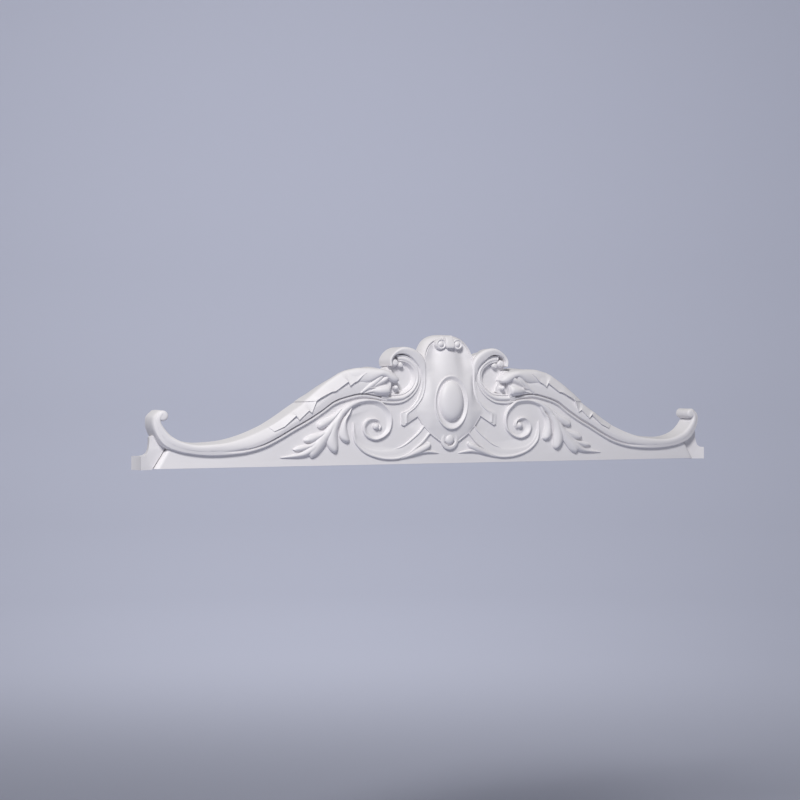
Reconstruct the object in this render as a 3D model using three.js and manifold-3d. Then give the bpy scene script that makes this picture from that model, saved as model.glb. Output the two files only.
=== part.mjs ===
// A cast overdoor pediment: two S-shaped scrolls that rise from small end blocks to a cartouche with an oval
// boss. It is one casting with a flat back, glued to the wall above a door.
// Millimetres, +Z up, front towards -Y, back face on the plane y = 0.
import * as THREE from "three";
import { mergeVertices } from "three/addons/utils/BufferGeometryUtils.js";
import Module from "manifold-3d";

// Overall sizes. The origin is on the back face, on the centre line.
const length = 1280; // along the bottom edge, at the wall
const height = 250; // bottom edge to the top of the crest
const originHeight = 123.5; // origin above the bottom edge

// Heights above the wall of the flat grounds.
const ground = 30; // the field behind the lower carving
const earFloor = 22; // the sunk floor inside each ear
const blockStep = 20; // the end block where it meets the field
const crestGround = 23; // the top of the cartouche, behind its two small volutes

// Rise of each carved form above the ground.
const railRise = 9;
const curlRise = 8.6;
const leafRise = 12; // the leaf wrapped over the rail
const headRise = 17; // the folded head of that leaf
const sprayRise = 9;
const spiralRise = 7;
const crescentRise = 4.5;
const footLeafRise = 8; // the small leaf at the crescent's foot
const hoodRise = 9;
const ridgeRise = 6; // the ridge of the C inside the hood
const strapRise = 4;
const shieldRise = 11;
const dishRise = 8; // the dished ground round the oval boss
const ovalRise = 13;
const bossRise = 21;
const beadRise = 9;
const voluteRise = 12; // the two small volutes and the tongue, above the top of the cartouche
const eyeRise = 3; // the eye that ends the C

const draft = 3; // how far the outer walls lean out from front to back
const blockWidth = 34; // each end block, along the bottom edge
const mitreLean = 25; // how far the mitre beside the block leans in, from its foot to its head
const mitreWidth = 4.5; // the sloping edge of the field along the mitre
const mitreGroove = 6; // depth of the cut between the mitre and the block
const mitreCut = 3.2; // and its width
const root = 6; // how far above the wall each form starts, inside the casting

// The drawing is squared up as a carver does it: u counts squares out from the centre line and z up from the
// origin, one square being a millimetre at the first size, so the carving keeps its proportions at any size.
const squareX = length / 1280;
const squareZ = height / 250;
const bottom = -originHeight / squareZ;

const wasm = await Module();
wasm.setup();

const at = (u, z, e) => new THREE.Vector3(u * squareX, -e, z * squareZ);

// Turns a closed mesh's faces outwards, by the sign of its volume.
function faceOut(geometry) {
  const p = geometry.attributes.position;
  const index = geometry.index.array;
  const corner = (i) => new THREE.Vector3().fromBufferAttribute(p, index[i]);
  let volume = 0;
  for (let i = 0; i < index.length; i += 3)
    volume += corner(i).dot(corner(i + 1).cross(corner(i + 2)));
  if (volume < 0)
    for (let i = 0; i < index.length; i += 3)
      [index[i + 1], index[i + 2]] = [index[i + 2], index[i + 1]];
  return geometry;
}

// Triangles that fill a loop, in the loop's own order, laid out in the plane that shows it widest.
function fill(loop) {
  const normal = new THREE.Vector3();
  loop.forEach((p, i) => normal.add(new THREE.Vector3().crossVectors(p, loop[(i + 1) % loop.length])));
  const planes = { x: ["y", "z"], y: ["z", "x"], z: ["x", "y"] };
  const widest = ["x", "y", "z"].sort((a, b) => Math.abs(normal[b]) - Math.abs(normal[a]))[0];
  const [h, v] = planes[widest];
  const clockwise = normal[widest] < 0;
  const order = loop.map((_, i) => (clockwise ? loop.length - 1 - i : i));
  const flat = order.map((i) => new THREE.Vector2(loop[i][h], loop[i][v]));
  return THREE.ShapeUtils.triangulateShape(flat, []).map(([a, b, c]) =>
    clockwise ? [order[a], order[c], order[b]] : [order[a], order[b], order[c]],
  );
}

// A closed body through rows of points, each row a closed loop, with both ends filled.
function loft(rows) {
  const m = rows[0].length;
  const index = [];
  for (let i = 0; i + 1 < rows.length; i++)
    for (let j = 0; j < m; j++) {
      const k = (j + 1) % m;
      index.push(i * m + j, i * m + k, (i + 1) * m + k);
      index.push(i * m + j, (i + 1) * m + k, (i + 1) * m + j);
    }
  const base = (rows.length - 1) * m;
  for (const [a, b, c] of fill(rows[0])) index.push(a, c, b);
  for (const [a, b, c] of fill(rows.at(-1))) index.push(base + a, base + b, base + c);
  const geometry = new THREE.BufferGeometry().setFromPoints(rows.flat());
  geometry.setIndex(index);
  return faceOut(geometry);
}

// A curve through two columns of a table of stations: smooth, or straight from tooth to tooth.
function curve(stations, column, toothed = false) {
  const points = stations.map((row) => new THREE.Vector2(row[column], row[column + 1]));
  if (!toothed) return (t) => new THREE.SplineCurve(points).getPoint(t);
  return (t) => {
    const place = Math.min(t * (points.length - 1), points.length - 1 - 1e-9);
    const i = Math.floor(place);
    return points[i].clone().lerp(points[i + 1], place - i);
  };
}

// A moulding between two edges. A station is [u, z of the outer edge, u, z of the inner edge, share of the
// rise], and a sixth number where the outer wall leans by another amount than the draft. The section lists
// [share of the way across, shift, share of the rise, share of the drop to the ear floor], or gives that list
// for each place along. The outer side goes back to the wall where that side is part of the outline.
function moulding(stations, rise, section, steps, { toothed = false, wall = false } = {}) {
  const step = 0.01; // the least distance between two points of a section, so that a narrow one never folds
  const outer = curve(stations, 0, toothed);
  const inner = curve(stations, 2, toothed);
  const sizes = curve(stations.map((row) => [row[4], row[5] ?? draft]), 0, toothed);
  const rows = [];
  for (let i = 0; i <= steps; i++) {
    const [a, b] = [outer(i / steps), inner(i / steps)];
    const size = sizes(i / steps);
    const across = b.clone().sub(a).normalize();
    const back = a.clone().addScaledVector(across, -size.y);
    const profile = typeof section === "function" ? section(i / steps) : section;
    let reached = -step;
    const row = profile.map(([share, shift, lift, drop = 0]) => {
      reached = Math.max(reached + step, share * a.distanceTo(b) + shift);
      const p = a.clone().addScaledVector(across, reached);
      return at(p.x, p.y, ground + rise * size.x * lift - (ground - earFloor) * drop);
    });
    row.unshift(wall ? at(back.x, back.y, 0) : at(a.x, a.y, root));
    row.push(at(b.x, b.y, wall ? 0 : root));
    rows.push(row);
  }
  return loft(rows);
}

// A carved stroke along a path. A station is [u, z, half width, share of the rise], and the section lists
// [side from -1 to 1, share of the rise].
function stroke(stations, rise, section, steps) {
  const path = curve(stations, 0);
  const sizes = curve(stations, 2);
  const rows = [];
  for (let i = 0; i <= steps; i++) {
    const t = i / steps;
    const p = path(t);
    const ahead = path(Math.min(1, t + 0.01)).sub(path(Math.max(0, t - 0.01))).normalize();
    const across = new THREE.Vector2(-ahead.y, ahead.x);
    const size = sizes(t);
    const width = Math.max(size.x, 0.5);
    const row = section.map(([side, share]) =>
      at(p.x + across.x * side * width, p.y + across.y * side * width, ground + rise * size.y * share),
    );
    row.unshift(at(p.x - across.x * width, p.y - across.y * width, root));
    row.push(at(p.x + across.x * width, p.y + across.y * width, root));
    rows.push(row);
  }
  return loft(rows);
}

// A flat piece from its outline, with upright walls.
function plate(outline, top) {
  return loft([outline.map(([u, z]) => at(u, z, 0)), outline.map(([u, z]) => at(u, z, top))]);
}

// A form turned on an axis that points out of the wall, then drawn out to an oval. The profile is
// [share of the radius, height above the wall], from the axis round to the axis.
function turned(u, z, radiusU, radiusZ, profile, sides) {
  const geometry = new THREE.LatheGeometry(profile.map(([r, e]) => new THREE.Vector2(r, -e)), sides);
  geometry.scale(radiusU * squareX, 1, radiusZ * squareZ);
  geometry.translate(u * squareX, 0, z * squareZ);
  geometry.deleteAttribute("normal");
  geometry.deleteAttribute("uv");
  return faceOut(mergeVertices(geometry, 1e-3));
}

// A small turned knob with a rounded top.
function knob(u, z, radius, top, sides) {
  const profile = [[0, root], [1, root], [1, top - radius * 0.45], [0.6, top - radius * 0.1], [0, top]];
  return turned(u, z, radius, radius, profile, sides);
}

const mirror = (geometry) => faceOut(geometry.clone().scale(-1, 1, 1));

function solid(geometry) {
  const merged = mergeVertices(geometry, 1e-3);
  const mesh = new wasm.Mesh({
    numProp: 3,
    vertProperties: new Float32Array(merged.attributes.position.array),
    triVerts: new Uint32Array(merged.index.array),
  });
  return new wasm.Manifold(mesh);
}

// Sections across the strokes.
const lobe = [[-1, 0.1], [-0.6, 0.82], [0, 1], [0.6, 0.82], [1, 0.1]];

// The flat field behind the carving, with its sloping mitred edge beside each end block.
const end = length / 2 / squareX;
const mitreFoot = end - blockWidth / squareX; // where the mitre meets the bottom edge
const mitreHead = mitreFoot - mitreLean / squareX; // where it runs in under the scroll
const mitreTop = -85;

function field() {
  const upper = [
    [560, -84], [530, -88], [480, -90], [440, -83], [400, -72], [360, -53], [330, -35], [300, -15],
    [270, 8], [240, 20], [200, 12], [160, 4], [125, 0], [106, 0], [90, 6], [76, 20], [66, 36],
  ];
  const level = (inset, low, e) => {
    const half = [[mitreFoot - inset, low], [mitreHead - inset * 0.8, mitreTop], ...upper];
    const other = half.map(([u, z]) => [-u, z]).reverse();
    return [...half, ...other].map(([u, z]) => at(u, z, e));
  };
  const front = bottom + draft / 2 / squareZ;
  return loft([level(0, bottom, 0), level(0, front, blockStep), level(mitreWidth / squareX, front, ground)]);
}

// The end block: its face slopes back towards the mitre, where a narrow cut parts the two, and its top turns
// up into the underside of the scroll. Its hollow side stands out further in front than at the wall.
function endBlock() {
  const face = (2 * draft) / squareX;
  const fromEnd = (edge) => edge.map(([inward, z]) => [end - inward, z]);
  const mitre = [[mitreHead - 5, -76], [mitreHead, mitreTop - 1], [mitreFoot, bottom]];
  const back = fromEnd([
    [0, bottom], [0, -99], [13, -99], [20, -98], [26, -94], [29.5, -87], [31, -77], [31, -66], [44, -58],
  ]);
  const front = fromEnd([
    [face, bottom], [face, -99], [11, -99], [16, -98], [20.5, -94], [23, -87], [24.5, -77], [25, -66],
    [44, -58],
  ]);
  const across = (u) => Math.max(0, (u - mitreFoot) / (end - face - mitreFoot));
  const height = (u) => blockStep + (ground - blockStep) * across(u);
  const level = (edge, shift, sunk) =>
    [...edge, ...mitre.map(([u, z]) => [u + shift, z])].map(([u, z]) => at(u, z, height(u) - sunk));
  return loft([
    [...back, ...mitre].map(([u, z]) => at(u, z, 0)),
    level(front, 0, mitreGroove),
    level(front, mitreCut, 0),
  ]);
}

// The S-shaped rail, from the roll at its lower end to the leaf at its head. The groove and fillet along its
// lower edge die away before the roll.
function rail() {
  const full = [
    [0, 0, 0], [0.1, 0, 0.34], [0.3, 0, 0.7], [0.56, 0, 1], [1, -9, 0.8], [1, -6.8, 0], [1, -5, 0.58],
    [1, -1.5, 0.52], [1, 0, -0.1],
  ];
  const plain = [0, 0.62, 1, 0.82, 0.64, 0.6, 0.66, 0.6, -0.1];
  const section = (t) => {
    const cut = Math.min(1, Math.max(0, (t - 0.36) / 0.2));
    return full.map(([share, shift, lift], i) => [share, shift, plain[i] + (lift - plain[i]) * cut]);
  };
  return moulding(
    [
      [594, -26, 601, -18, 1], [598, -36, 613.5, -31, 1], [593, -47, 611.5, -54, 1],
      [578, -63, 594, -80, 1], [556, -74, 567, -92, 1], [530, -79.5, 534, -98.5, 1],
      [500, -79, 500, -101, 1], [470, -76, 463, -100, 1], [440, -69, 427, -96, 1],
      [410, -58.5, 393, -87, 1], [380, -45, 362, -73, 1], [350, -27, 332, -57, 1],
      [320, -9, 304, -43, 1], [290, 16, 275, -26, 1, -3], [260, 37.5, 250, -9.5, 1, -5],
      [230, 53.5, 220, 0, 1, -8], [200, 60, 190, 5, 1, -6], [165, 60.5, 162, 1, 1],
      [127, 55, 140, -4, 1],
    ],
    railRise,
    section,
    21,
    { wall: true },
  );
}

// The roll that ends the rail above the end block.
function curl() {
  const top = ground + curlRise;
  return turned(594.5, -27.8, 10, 9.5, [[0, 0], [1.1, 0], [1, top - 4], [0.8, top], [0, top]], 14);
}

// The leaf that wraps the upper side of the rail in two layers, toothed along its lower edge.
function leaf() {
  const section = [[0, 0, 0], [0.15, 0, 0.4], [0.6, 0, 0.74], [1, 0, 1]];
  const lower = moulding(
    [
      [388, -49, 377.5, -57.5, 0.79], [368, -38, 358, -49, 0.92], [346, -24, 334, -29, 0.96],
      [337, -18.5, 328, -37, 0.96], [320, -8, 308, -20, 0.96], [311, -1, 302, -24, 0.96, 0],
      [302, 7, 290, 3, 0.96, -2],
    ],
    leafRise,
    section,
    6,
    { toothed: true, wall: true },
  );
  const upper = moulding(
    [
      [316, -3, 293, -2, 0.96, 3], [298, 11, 284, 4, 1.04, -2], [275, 28, 261, 15, 1.04, -4],
      [264, 35.5, 253, 16, 1.04, -5], [240, 50, 226, 34, 1.04, -7], [228, 55, 222, 26, 1.04, -8],
      [218, 57.5, 214, 32, 1.04, -8], [210, 59, 207, 35, 1.04, -7], [200, 60.5, 197, 44, 1.04, -5],
      [189, 61, 187, 51, 1.04, -3],
    ],
    leafRise,
    section,
    9,
    { toothed: true, wall: true },
  );
  return [lower, upper];
}

// The folded head of that leaf: its rolled-over mass, two lobes under its edge, the fold below, and a bead.
function leafHead() {
  const r = headRise;
  return [
    moulding(
      [
      [225, 55, 212, 30, 0.47, -8], [205, 60, 198, 32, 0.62, -5], [188, 61, 185, 32, 0.74, -3],
      [176, 61, 175, 35, 0.85, 0], [164, 60.5, 166, 39.5, 0.94, 2], [154, 59.5, 157, 44, 1],
      [145, 58, 147, 43, 1], [134, 55, 138, 37.5, 1], [124, 50, 130, 33.5, 0.97],
      [117, 44, 123, 33, 0.82], [114.5, 39, 118, 34.5, 0.59],
      ],
      r,
      [[0, 0, 0.1], [0.1, 0, 0.62], [0.35, 0, 0.95], [0.65, 0, 1], [0.9, 0, 0.86], [1, 0, 0.45]],
      10,
      { wall: true },
    ),
    stroke([[150, 49, 4, 0.8], [160, 40, 7, 0.85], [171, 31.5, 7, 0.76], [198, 13, 2.5, 0.5]], r, lobe, 4),
    stroke([[138, 47, 4, 0.8], [146, 40, 6.5, 0.9], [157, 34, 6, 0.8], [172, 25, 2.5, 0.6]], r, lobe, 3),
    stroke([[174, 18.5, 5, 0.55], [165, 18, 7.5, 0.8], [150, 18, 10.5, 1], [137, 19, 10, 0.8]], r, lobe, 5),
    knob(121, 23.5, 4.6, ground + r * 0.65, 8),
  ];
}

// The hood over the ear, which runs down beside the shield as a strap and is cut off square.
function hood() {
  const shares = [0, 0.12, 0.34, 0.65, 1];
  const high = [0.2, 0.85, 1, 0.9, 0.5];
  const low = [0.5, 0.8, 1, 0.48, 0];
  const section = (t) => {
    const strap = Math.min(1, Math.max(0, (t - 0.5) / 0.12));
    return shares.map((share, i) => [share, 0, high[i] + (low[i] - high[i]) * strap]);
  };
  return moulding(
    [
      [133, 65, 127, 67, 1], [134.5, 76, 128, 76, 1], [129, 86, 122, 84, 1],
      [118, 95.5, 113, 87.5, 1, 2], [105, 101, 103, 88, 1, 0], [90, 100.5, 93, 85, 1, -3],
      [76, 96, 82, 77.5, 0.94, -8], [62, 86, 73, 69, 0.87, -8], [54, 73, 66.5, 60, 0.78, -4],
      [53, 60, 63, 48, 0.71], [52.5, 44, 62.5, 36, 0.69], [53, 28, 64, 20, 0.67],
      [57, 10, 71, 3, 0.67], [65, -3, 80, -9, 0.67], [76, -15, 91, -19, 0.67],
      [88, -25, 107, -25, 0.67], [92, -31, 108, -30, 0.67], [92, -42, 106.5, -47.5, 0.62],
    ],
    hoodRise,
    section,
    18,
    { wall: true },
  );
}

// The C inside the hood: the rail's lower moulding, carried round under the leaf and up to an eye.
function innerC() {
  const section = [
    [0, 0, 0], [0.06, 0, 0.64], [0.24, 0, 0.28], [0.42, 0, 1], [0.62, 0, 0.24], [0.7, 0, 0.42], [1, 0, 0, 1],
  ];
  return [
    moulding(
      [
      [152, -5, 150, 17, 1.08], [128, -7.5, 128, 17, 1.08], [108, -6, 108, 17.5, 1],
      [95, -1, 97, 21, 0.93], [84, 6, 89, 26, 0.83], [74, 16, 83, 33, 0.75], [66, 29, 80, 41, 0.67],
      [62.5, 42, 80, 50, 0.6], [63, 56, 83.5, 57.5, 0.57], [71, 69, 89, 63, 0.5],
      [84, 80, 96, 67, 0.5], [99, 86, 104, 69, 0.4], [116, 86, 110, 70, 0.33],
      ],
      ridgeRise,
      section,
      14,
    ),
    knob(107, 67, 5.6, ground + eyeRise, 8),
    knob(120.5, 71, 8, ground + eyeRise + 2, 10),
  ];
}

// The sunk floor of the ear, and the low step where the rail ends beside it.
function earPan() {
  const pan = [
    [58, 84], [76, 92], [104, 98], [128, 86], [131, 66], [140, 50], [150, 0], [112, -5], [78, 6],
    [60, 30],
  ];
  const step = [
    [126, 57], [121, 45], [115, 33], [110, 23], [108, 16], [150, 4], [165, 30], [160, 58],
  ];
  return [plate(pan, earFloor), plate(step, ground - 2)];
}

// The spiral under the rail, high on its outer side and sloping to the ground inside, with its eye.
function spiral() {
  return [
    moulding(
      [
      [226, -24, 223.5, -40, 0.14], [222, -14, 219.5, -26, 0.71], [214, -7, 211, -16.5, 0.93],
      [203, -2.5, 202, -11, 1], [185, 1, 188, -8, 1], [169, 1.5, 172, -8.5, 1], [154, -1, 159, -12, 1],
      [142, -10, 149, -17.5, 1], [133, -19, 142, -25.5, 1], [128, -31, 138, -36, 0.93],
      [128, -45, 138, -48, 0.86], [132, -58, 141.5, -58, 0.86], [142, -68, 148.5, -64.5, 0.86],
      [154, -74, 157, -67.5, 0.86], [165, -76, 165, -68, 0.86], [176, -73.5, 172, -64.5, 0.86],
      [185, -68, 177, -59, 0.86], [190, -60, 179, -54, 0.86], [191.5, -51, 177.5, -48.5, 0.89],
      [189.5, -43, 172, -43.5, 0.91], [183, -37, 167, -41, 0.94], [175, -34, 161.5, -41, 1],
      [166, -34, 158.5, -43.5, 1], [158, -37, 157.5, -46, 1], [152.5, -43, 158.5, -49, 1],
      [151.5, -50, 160, -50.5, 1], [155, -56, 162, -51, 0.86],
      ],
      spiralRise,
      [[0, 0, 0.6], [0.15, 0, 1], [0.38, 0, 0.88], [0.62, 0, 0.34], [1, 0, -0.05]],
      31,
    ),
    knob(163, -49.5, 6, ground + spiralRise + 1.8, 10),
  ];
}

// The flat crescent that cups the spiral and runs in under the oval, with the small leaf at its foot.
function crescent() {
  const frontLeaf = [
    [108, -112, 1, 0.4], [86, -104, 4, 0.75], [66, -96, 6.5, 1], [50, -89, 6, 1], [43, -83, 3, 0.6],
  ];
  const backLeaf = [[74, -102, 3, 0.6], [54, -99, 3.4, 0.6], [38, -100, 2.4, 0.5], [22, -103, 0.8, 0.1]];
  return [
    moulding(
      [
      [211, -41, 208, -44, 0.44], [212, -52, 206, -54, 0.89], [212, -64, 203, -64, 1],
      [207, -81, 196, -78, 1], [191, -97, 182, -88, 1], [170, -107, 163, -93, 1],
      [143, -113, 140, -94, 1], [115, -113, 117, -91.5, 1], [92, -106, 98, -83, 1],
      [75, -94, 84, -73, 1], [60, -83, 71, -62, 1], [43, -65, 60, -47, 1],
      ],
      crescentRise,
      [[0, 0, 0.6], [0, 2.4, 1], [0, 5, 0.5], [0.75, 0, 0.42], [1, 0, 0]],
      13,
    ),
    stroke(frontLeaf, footLeafRise, lobe, 5),
    stroke(backLeaf, footLeafRise, lobe, 3),
  ];
}

// The leaf that falls from the start of the spiral: lobes fanned from one stem, each a small moulding.
function spray() {
  const section = [[0, 0, 0.2], [0.2, 0, 0.85], [0.5, 0, 1], [0.8, 0, 0.82], [1, 0, 0.2]];
  const lobes = [
    [
      [217, -12, 212, -13, 0.56], [224, -25, 218, -25, 0.78], [235, -39, 225, -37, 0.94],
      [240, -56, 225, -52, 1], [241, -66, 221, -67, 1], [237, -74, 219, -75.5, 0.94],
      [229, -79.5, 221, -79, 0.56],
    ],
    [
      [232, -14, 220, -14, 0.67], [249, -31, 228, -25, 0.89], [258, -42, 237, -38, 1.06],
      [264, -57, 244, -54, 1.11], [268, -72, 245, -67, 1.11], [267, -83, 244, -80, 1.11],
      [262, -91, 244, -90, 1.06], [257, -95.5, 246, -95.5, 0.83], [252, -98, 250, -98, 0.44],
    ],
    [
      [240, -22, 232, -24, 0.67], [258, -40, 246, -44, 0.94], [273, -57, 255, -62, 1.06],
      [288, -71, 265, -76, 1.06], [300, -83, 274, -88, 1.06], [306, -92, 282, -97, 1],
      [307, -99.5, 289, -103, 0.83], [301, -106.5, 297, -107, 0.44],
    ],
    [
      [270, -55, 262, -68, 0.89], [290, -74, 276, -84, 1], [306, -87, 291, -95, 1],
      [322, -96.5, 310, -104, 0.78], [340, -101, 331, -106.5, 0.56], [363, -105, 361, -107, 0.22],
    ],
    [
      [236, -14, 238, -20, 0.56], [254, -27, 250, -35, 0.78], [268, -33, 258, -43, 0.94],
      [280, -37.5, 267, -49.5, 0.94], [287, -44, 275, -52.5, 0.89], [287, -50, 282, -53, 0.56],
    ],
    [
      [266, -52, 264, -59, 0.67], [280, -60, 275, -67, 0.89], [296, -63, 286, -75, 0.94],
      [307, -66.5, 296, -79, 0.94], [314, -72, 304, -79, 0.83], [315, -76, 311, -77.5, 0.44],
    ],
    [
      [290, -74, 288, -81, 0.67], [302, -80.5, 298, -88, 0.83], [316, -83, 310, -92, 0.83],
      [329, -86, 321, -95, 0.78], [337.5, -90.5, 331, -94.5, 0.44],
    ],
  ];
  const stem = [
    [180, 0, 2, 0.55], [198, -3, 3.5, 0.8], [216, -9.5, 5, 0.9], [232, -21, 6.5, 0.9], [244, -34, 6, 0.8],
  ];
  const leaves = lobes.map((stations) => moulding(stations, sprayRise, section, 5));
  return [...leaves, stroke(stem, sprayRise, lobe, 4)];
}

// The shield behind the oval. Above the oval it swells down its middle and is hollowed on both flanks.
// A row is [z, half width, height at the centre, height at the flank, height at the edge].
function shield() {
  const top = crestGround;
  const edge = ground + strapRise;
  const face = ground + shieldRise;
  const slices = [
    [119, 10, top - 1, top - 1.5, top - 3], [110, 34, top + 3, top - 1.5, top],
    [104, 40.5, top + 5, top - 0.5, top + 1.5], [97, 45.5, top + 7.5, top + 0.5, top + 3],
    [88, 50, top + 10, top + 2.5, top + 5.5], [78, 53, face - 5.5, top + 4.5, top + 7],
    [66, 54.5, face - 3, face - 9.5, ground + 3], [50, 55, face - 0.5, face - 5, edge],
    [34, 54.5, face, face - 1.5, edge], [15, 57, face, face, edge], [-2, 64, face, face, edge],
    [-14, 72, face, face, edge], [-22, 76, face, face, edge], [-31, 71, face, face, edge],
    [-49, 58.5, face - 1.5, face - 2.5, edge], [-64.5, 44, edge + 2, edge + 2, edge], [-80, 21, edge, edge, edge],
  ];
  const rows = slices.map(([z, w, centre, flank, rim]) => {
    const flare = flank + Math.max(0, rim - flank) / 2;
    const half = [[w, rim], [Math.min(w * 0.85, 46), flare], [Math.min(w * 0.6, 32), flank], [w / 5, centre]];
    const across = [...half, ...half.map(([u, e]) => [-u, e]).reverse()];
    return [at(w, z, 0), ...across.map(([u, e]) => at(u, z, e)), at(-w, z, 0)];
  });
  return loft(rows);
}

// The plate behind the shield that reaches out to the strap and in under the bead.
function strapPlate() {
  const half = [
    [0, 50], [54, 50], [60, 36], [62, 21], [69, 4], [78, -9], [90, -19], [107, -25], [106.5, -47],
    [102, -49], [71.5, -31], [60, -47.5], [44, -64.5], [21, -80], [0, -80],
  ];
  return plate(half, ground + strapRise);
}

// The room of the dish round the boss, taken out of the shield.
function dishRoom() {
  const floor = ground + dishRise;
  const mouth = ground + bossRise + 10;
  return turned(0, -4.5, 34, 48, [[0, floor], [1, floor], [1.2, mouth], [0, mouth]], 28);
}

// The oval boss and the rim round its dish, with the ringed bead below.
function oval() {
  const dish = ground + dishRise;
  const rim = ground + ovalRise;
  const boss = ground + bossRise;
  const ring = ground + strapRise + 2;
  const bead = ground + beadRise;
  const pit = ground + 1;
  const rimProfile = [[0, root], [1, root], [1, rim - 2], [0.96, rim], [0.83, dish + 0.5], [0, dish]];
  const bossProfile = [[0, root], [1, root], [1, dish + 1], [0.9, boss - 6], [0.65, boss - 2], [0, boss]];
  const ringProfile = [[0, root], [1, root], [1, ring - 1.5], [0.9, ring], [0.7, ring], [0.6, pit], [0, pit]];
  return [
    turned(0, -4.5, 38, 52.5, rimProfile, 22),
    turned(0, -2, 27, 39.5, bossProfile, 20),
    turned(0, -76.5, 19.5, 19.5, ringProfile, 16),
    knob(0, -76, 10.4, bead, 12),
  ];
}

// The crest: its broad rounded edge runs up to a thin rim, with a small volute each side below the top.
function crest() {
  const rims = [32, 31, 28.5, 26.5, 25, 24, 23.5, 23.5]; // the rim's height above the wall, by station
  const heights = curve(rims.map((e) => [e - ground, 0]), 0);
  const section = (t) => {
    const rim = heights(t).x;
    return [
      [0, 0, draft - ground], [0.06, 0, rim - 12], [0.22, 0, rim - 4], [0.46, 0, rim], [0.58, 0, rim - 1.6],
      [1, 0, rim - 5],
    ];
  };
  const volute = crestGround + voluteRise;
  const stations = [
    [57, 74, 50, 68], [58, 85, 50, 73], [56.5, 93, 46.5, 85], [52.5, 103, 41.5, 95.5],
    [44.5, 114, 35.5, 102], [33, 121.5, 25, 109], [18, 125.8, 14, 111], [0, 126.5, 0, 112.5],
  ].map((row) => [...row, 1, 0]);
  return [
    moulding(stations, 1, section, 10, { wall: true }),
    turned(18.5, 107, 11.5, 9.5, [[0, root], [1, root], [1, volute - 4], [0.8, volute], [0, volute]], 11),
  ];
}

// The tongue between the two volutes of the crest.
function tongue() {
  const rise = crestGround - ground + voluteRise + 3.5;
  const stations = [
    [0, 121.5, 8.5, -0.5], [0, 116, 8.5, 0.6], [0, 108, 8, 1], [0, 102.5, 7.5, 1], [0, 100.5, 6, 0.8],
  ];
  return stroke(stations, rise, lobe, 7);
}

const half = [
  endBlock(), rail(), curl(), leaf(), leafHead(), hood(), innerC(), earPan(), spiral(), crescent(), spray(),
  strapPlate(), crest(),
].flat();
const hollowed = solid(shield()).subtract(solid(dishRoom()));
const pieces = [field(), ...oval(), tongue(), ...half, ...half.map(mirror)].map(solid);
const cast = pieces.reduce((whole, piece) => whole.add(piece), hollowed).getMesh();

const geometry = new THREE.BufferGeometry();
geometry.setAttribute("position", new THREE.BufferAttribute(cast.vertProperties, 3));
geometry.setIndex(new THREE.BufferAttribute(cast.triVerts, 1));

const primedPolyurethane = new THREE.MeshStandardMaterial({ color: 0xe4e2e8, roughness: 0.55, metalness: 0 });
const onlay = new THREE.Mesh(geometry, primedPolyurethane);
onlay.name = "scroll_onlay";

const part = new THREE.Group();
part.add(onlay);
export default part;
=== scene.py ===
# %% [markdown]
# # A cast scroll onlay for a wall
#
# The real thing is one casting in rigid polyurethane foam: two S-shaped scrolls climb from small end
# blocks to a cartouche with an oval boss. It comes primed white, with a flat back that is glued to the
# wall. This lesson builds it as a carver sets it out. Lines are drawn on a board, mouldings are run
# between them, leaves are cut over the mouldings, and at the end everything is joined into one skin and
# primed.

import math

import bmesh
import bpy
from mathutils import Matrix, Vector


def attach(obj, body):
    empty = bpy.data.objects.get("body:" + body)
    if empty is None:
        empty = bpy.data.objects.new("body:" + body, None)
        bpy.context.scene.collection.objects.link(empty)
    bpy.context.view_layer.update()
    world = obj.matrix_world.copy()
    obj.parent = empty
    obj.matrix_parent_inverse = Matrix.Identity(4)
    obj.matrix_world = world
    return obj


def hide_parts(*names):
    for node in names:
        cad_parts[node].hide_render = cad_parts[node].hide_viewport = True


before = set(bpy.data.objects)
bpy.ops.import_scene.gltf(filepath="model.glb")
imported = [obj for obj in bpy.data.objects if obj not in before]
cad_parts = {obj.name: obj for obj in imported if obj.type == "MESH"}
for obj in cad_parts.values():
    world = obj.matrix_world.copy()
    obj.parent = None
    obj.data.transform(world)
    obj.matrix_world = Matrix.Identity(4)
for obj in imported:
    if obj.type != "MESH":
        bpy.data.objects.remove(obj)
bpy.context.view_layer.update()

# %% [markdown]
# ## Millimetres on a drawing board
#
# A carver reads a place on the board as u, out from the centre line, z, up from the origin, and e, the
# height above the wall. One function turns those millimetres into Blender's metres, so every table below
# can be read as a drawing.

# %% Board measures
MM = 0.001
GROUND = 30  # the field behind the lower carving
EAR_FLOOR = 22  # the sunk floor inside each ear
BLOCK_STEP = 20  # the end block where it meets the field
HALF_LENGTH = 640  # from the centre line to either end, along the bottom edge
BOTTOM = -123.5
ROOT = 6  # each form starts this far above the wall, inside the casting
DRAFT = 3  # how far the outer walls lean out from front to back


def at(u, z, e):
    return Vector((u * MM, -e * MM, z * MM))


print("casting:", 2 * HALF_LENGTH, "mm long, field", GROUND, "mm thick")

# %% [markdown]
# ## Smooth lines through a few stations
#
# A moulding is set out by stations along its length. A spline that passes through every station (Catmull
# and Rom's) keeps each station where it was set. A toothed leaf edge wants straight lines between its
# points instead.


# %% Reading a line at any place along it
def line(points, straight=False):
    def read(t):
        place = min(max(t, 0), 1) * (len(points) - 1)
        i = min(int(place), len(points) - 2)
        w = place - i
        near = [points[max(i - 1, 0)], points[i], points[i + 1], points[min(i + 2, len(points) - 1)]]
        if straight:
            return [b + (c - b) * w for b, c in zip(near[1], near[2])]
        return [
            b + w * (c - a) / 2 + w * w * (a - 2.5 * b + 2 * c - d / 2) + w**3 * (1.5 * (b - c) + (d - a) / 2)
            for a, b, c, d in zip(*near)
        ]

    return read


print("halfway along a test line:", line([(0, 0), (10, 4), (20, 0)])(0.5))

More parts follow.
